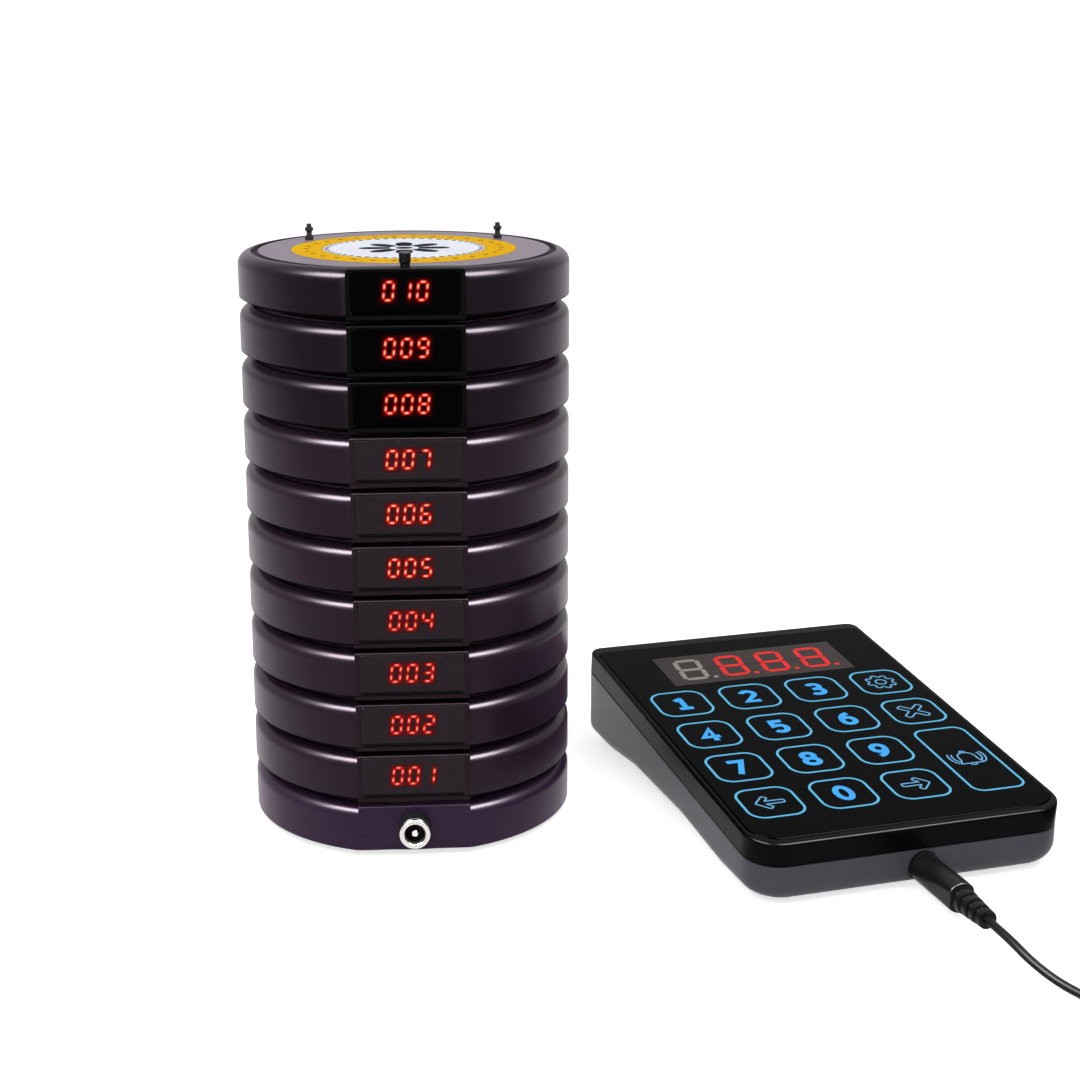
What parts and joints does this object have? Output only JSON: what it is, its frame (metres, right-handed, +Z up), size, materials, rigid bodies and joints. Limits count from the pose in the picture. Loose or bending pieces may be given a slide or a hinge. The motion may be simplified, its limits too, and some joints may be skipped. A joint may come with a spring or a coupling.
{
  "type": "guest pager system",
  "caption": "Stack of round coaster pagers with number displays on a charging base, and a wedge-shaped glass keypad transmitter with a power lead.",
  "frame": {"origin": "on the counter, on the axis of the pager stack, under the charging base's foot ring", "axes": "+Z up along the stack, -Y the way the pagers' flat display fronts face, +X from the stack towards the keypad"},
  "size_m": [0.3175, 0.2616, 0.1918],
  "materials": {
    "pager_shell": "satin dark aubergine moulded plastic, fine grain",
    "pager_floor": "satin dark aubergine moulded plastic",
    "display_window": "dark smoked window, polished",
    "pager_electronics": "circuit board, battery and nickel-plated charging posts",
    "base_shell": "satin dark purple moulded plastic",
    "base_plate": "matte dark plastic",
    "circuit": "green solder mask",
    "jack": "black moulded jack with nickel-plated ring and pin",
    "foot_rubber": "matte black rubber",
    "screw_steel": "zinc-plated steel",
    "keypad_frame": "dark grey satin to gloss plastic",
    "touch_glass": "polished glass, printed black behind",
    "led_module": "dark brown-grey LED module face",
    "keypad_case": "satin grey moulded plastic",
    "plug_moulding": "semi-gloss black moulding",
    "contact_metal": "nickel plating",
    "cord_jacket": "semi-gloss black cord jacket",
    "adapter_shell": "fine textured black plastic"
  },
  "bodies": {
    "base_and_keypad": {"base_upper_shell": "base_shell", "base_lower_shell": "base_plate", "base_circuit": "circuit", "base_jack": "jack", "base_foot_ring": "foot_rubber", "base_screws": "screw_steel", "keypad_top_frame": "keypad_frame", "keypad_glass": "touch_glass", "keypad_display": "led_module", "keypad_board": "circuit", "keypad_lower_case": "keypad_case", "keypad_jack": "jack", "keypad_feet": "foot_rubber", "keypad_screws": "screw_steel"},
    "pager_01": {"pager_01_upper_shell": "pager_shell", "pager_01_lower_shell": "pager_floor", "pager_01_display": "display_window", "pager_01_electronics": "pager_electronics"},
    "pager_02": {"pager_02_upper_shell": "pager_shell", "pager_02_lower_shell": "pager_floor", "pager_02_display": "display_window", "pager_02_electronics": "pager_electronics"},
    "pager_03": {"pager_03_upper_shell": "pager_shell", "pager_03_lower_shell": "pager_floor", "pager_03_display": "display_window", "pager_03_electronics": "pager_electronics"},
    "pager_04": {"pager_04_upper_shell": "pager_shell", "pager_04_lower_shell": "pager_floor", "pager_04_display": "display_window", "pager_04_electronics": "pager_electronics"},
    "pager_05": {"pager_05_upper_shell": "pager_shell", "pager_05_lower_shell": "pager_floor", "pager_05_display": "display_window", "pager_05_electronics": "pager_electronics"},
    "pager_06": {"pager_06_upper_shell": "pager_shell", "pager_06_lower_shell": "pager_floor", "pager_06_display": "display_window", "pager_06_electronics": "pager_electronics"},
    "pager_07": {"pager_07_upper_shell": "pager_shell", "pager_07_lower_shell": "pager_floor", "pager_07_display": "display_window", "pager_07_electronics": "pager_electronics"},
    "pager_08": {"pager_08_upper_shell": "pager_shell", "pager_08_lower_shell": "pager_floor", "pager_08_display": "display_window", "pager_08_electronics": "pager_electronics"},
    "pager_09": {"pager_09_upper_shell": "pager_shell", "pager_09_lower_shell": "pager_floor", "pager_09_display": "display_window", "pager_09_electronics": "pager_electronics"},
    "pager_10": {"pager_10_upper_shell": "pager_shell", "pager_10_lower_shell": "pager_floor", "pager_10_display": "display_window", "pager_10_electronics": "pager_electronics"},
    "power_lead": {"power_plug": "plug_moulding", "plug_contact": "contact_metal", "power_cord": "cord_jacket", "power_cord_coil": "cord_jacket", "mains_adapter": "adapter_shell", "adapter_pins": "contact_metal"}
  },
  "joints": [
    {"name": "pager_01_lift", "type": "slide", "parent": "base_and_keypad", "child": "pager_01", "axis": [0, 0, 1], "range_m": [0, 0.012]},
    {"name": "pager_02_lift", "type": "slide", "parent": "pager_01", "child": "pager_02", "axis": [0, 0, 1], "range_m": [0, 0.012]},
    {"name": "pager_03_lift", "type": "slide", "parent": "pager_02", "child": "pager_03", "axis": [0, 0, 1], "range_m": [0, 0.012]},
    {"name": "pager_04_lift", "type": "slide", "parent": "pager_03", "child": "pager_04", "axis": [0, 0, 1], "range_m": [0, 0.012]},
    {"name": "pager_05_lift", "type": "slide", "parent": "pager_04", "child": "pager_05", "axis": [0, 0, 1], "range_m": [0, 0.012]},
    {"name": "pager_06_lift", "type": "slide", "parent": "pager_05", "child": "pager_06", "axis": [0, 0, 1], "range_m": [0, 0.012]},
    {"name": "pager_07_lift", "type": "slide", "parent": "pager_06", "child": "pager_07", "axis": [0, 0, 1], "range_m": [0, 0.012]},
    {"name": "pager_08_lift", "type": "slide", "parent": "pager_07", "child": "pager_08", "axis": [0, 0, 1], "range_m": [0, 0.012]},
    {"name": "pager_09_lift", "type": "slide", "parent": "pager_08", "child": "pager_09", "axis": [0, 0, 1], "range_m": [0, 0.012]},
    {"name": "pager_10_lift", "type": "slide", "parent": "pager_09", "child": "pager_10", "axis": [0, 0, 1], "range_m": [0, 0.012]},
    {"name": "plug_pull", "type": "slide", "parent": "base_and_keypad", "child": "power_lead", "axis": [0.2334, -0.9724, 0], "range_m": [0, 0.012]}
  ]
}
